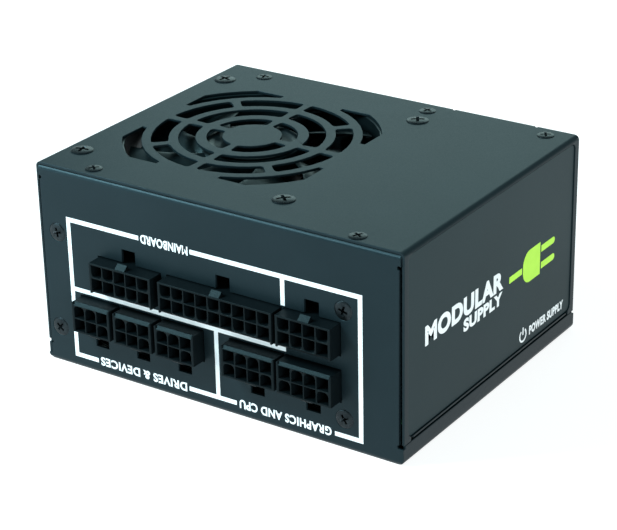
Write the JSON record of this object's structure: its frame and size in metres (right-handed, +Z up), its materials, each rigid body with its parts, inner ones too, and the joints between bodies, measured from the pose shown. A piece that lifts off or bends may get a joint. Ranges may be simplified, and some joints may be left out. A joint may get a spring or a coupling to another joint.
{
  "type": "computer power supply unit",
  "caption": "Small modular computer power supply: black steel box with a fan grille on top, output sockets in front, and a mains inlet, switch and vent behind.",
  "frame": {"origin": "centre of the underside of the steel box", "axes": "+X towards the labelled side, along the 125 mm width; +Y towards the rear panel with the mains inlet; +Z up, towards the fan grille"},
  "size_m": [0.125, 0.107, 0.0641],
  "materials": {
    "powder_coat": "fine matte charcoal powder coat",
    "label_film": "satin printed film",
    "black_screw": "black oxide steel",
    "zinc_screw": "bright zinc plate",
    "socket_plastic": "moulded black nylon",
    "fan_plastic": "moulded black plastic",
    "copper_winding": "enamelled copper wire",
    "shaft_steel": "ground steel",
    "black_wire": "soft sleeve",
    "inlet_plastic": "moulded black plastic",
    "nickel_pin": "nickel plated brass",
    "switch_plastic": "moulded black plastic",
    "brown_wire": "insulated wire",
    "blue_wire": "insulated wire",
    "insulation_film": "thin dark film",
    "board_green": "solder mask on glass fibre laminate",
    "board_black": "black solder mask on laminate",
    "capacitor_sleeve": "shrink sleeve",
    "green_coating": "coated ring core with copper wire",
    "ferrite": "sintered ferrite",
    "winding_tape": "polyester tape",
    "bare_aluminium": "extruded, bare",
    "black_epoxy": "moulded epoxy",
    "yellow_box": "moulded box",
    "blue_box": "moulded box"
  },
  "bodies": {
    "housing": {"top_cover": "powder_coat", "lower_chassis": "powder_coat", "side_label": "label_film", "fan_screw_1": "black_screw", "fan_screw_2": "black_screw", "fan_screw_3": "black_screw", "fan_screw_4": "black_screw", "cover_screw_1": "black_screw", "cover_screw_2": "black_screw", "cover_screw_3": "black_screw", "cover_screw_4": "black_screw", "cover_screw_5": "black_screw", "socket_board_screw_1": "black_screw", "socket_board_screw_2": "black_screw", "socket_board_screw_3": "black_screw", "socket_board_screw_4": "black_screw", "main_board_screw_1": "zinc_screw", "main_board_screw_2": "zinc_screw", "main_board_screw_3": "zinc_screw", "main_board_screw_4": "zinc_screw", "socket_10_pin": "socket_plastic", "socket_18_pin": "socket_plastic", "socket_8_pin_upper": "socket_plastic", "socket_6_pin_1": "socket_plastic", "socket_6_pin_2": "socket_plastic", "socket_6_pin_3": "socket_plastic", "socket_8_pin_lower_1": "socket_plastic", "socket_8_pin_lower_2": "socket_plastic", "fan_frame": "fan_plastic", "fan_stator": "copper_winding", "pfc_choke": "copper_winding", "common_mode_choke": "copper_winding", "fan_cable": "black_wire", "inlet_housing": "inlet_plastic", "inlet_pin_live": "nickel_pin", "inlet_pin_neutral": "nickel_pin", "inlet_pin_earth": "nickel_pin", "switch_housing": "switch_plastic", "mains_lead_live": "brown_wire", "mains_lead_neutral": "blue_wire", "insulation_sheet": "insulation_film", "main_board": "board_green", "controller_board": "board_green", "socket_board": "board_black", "bulk_capacitor": "capacitor_sleeve", "output_capacitor_1": "capacitor_sleeve", "output_capacitor_2": "capacitor_sleeve", "output_choke": "green_coating", "transformer_core": "ferrite", "transformer_winding": "winding_tape", "standby_transformer": "winding_tape", "primary_heatsink": "bare_aluminium", "secondary_heatsink": "bare_aluminium", "bridge_rectifier": "black_epoxy", "x_capacitor": "yellow_box", "relay": "blue_box"},
    "fan": {"fan_rotor": "fan_plastic", "fan_shaft": "shaft_steel"},
    "rocker": {"switch_rocker": "switch_plastic"}
  },
  "joints": [
    {"name": "fan_spin", "type": "hinge", "parent": "housing", "child": "fan", "pos_m": [-0.0204, -0.0003, 0.055], "axis": [0, 0, 1], "continuous": true},
    {"name": "power_switch", "type": "hinge", "parent": "housing", "child": "rocker", "pos_m": [0.038, 0.0474, 0.046], "axis": [-1, 0, 0], "range_deg": [0, 18]}
  ]
}
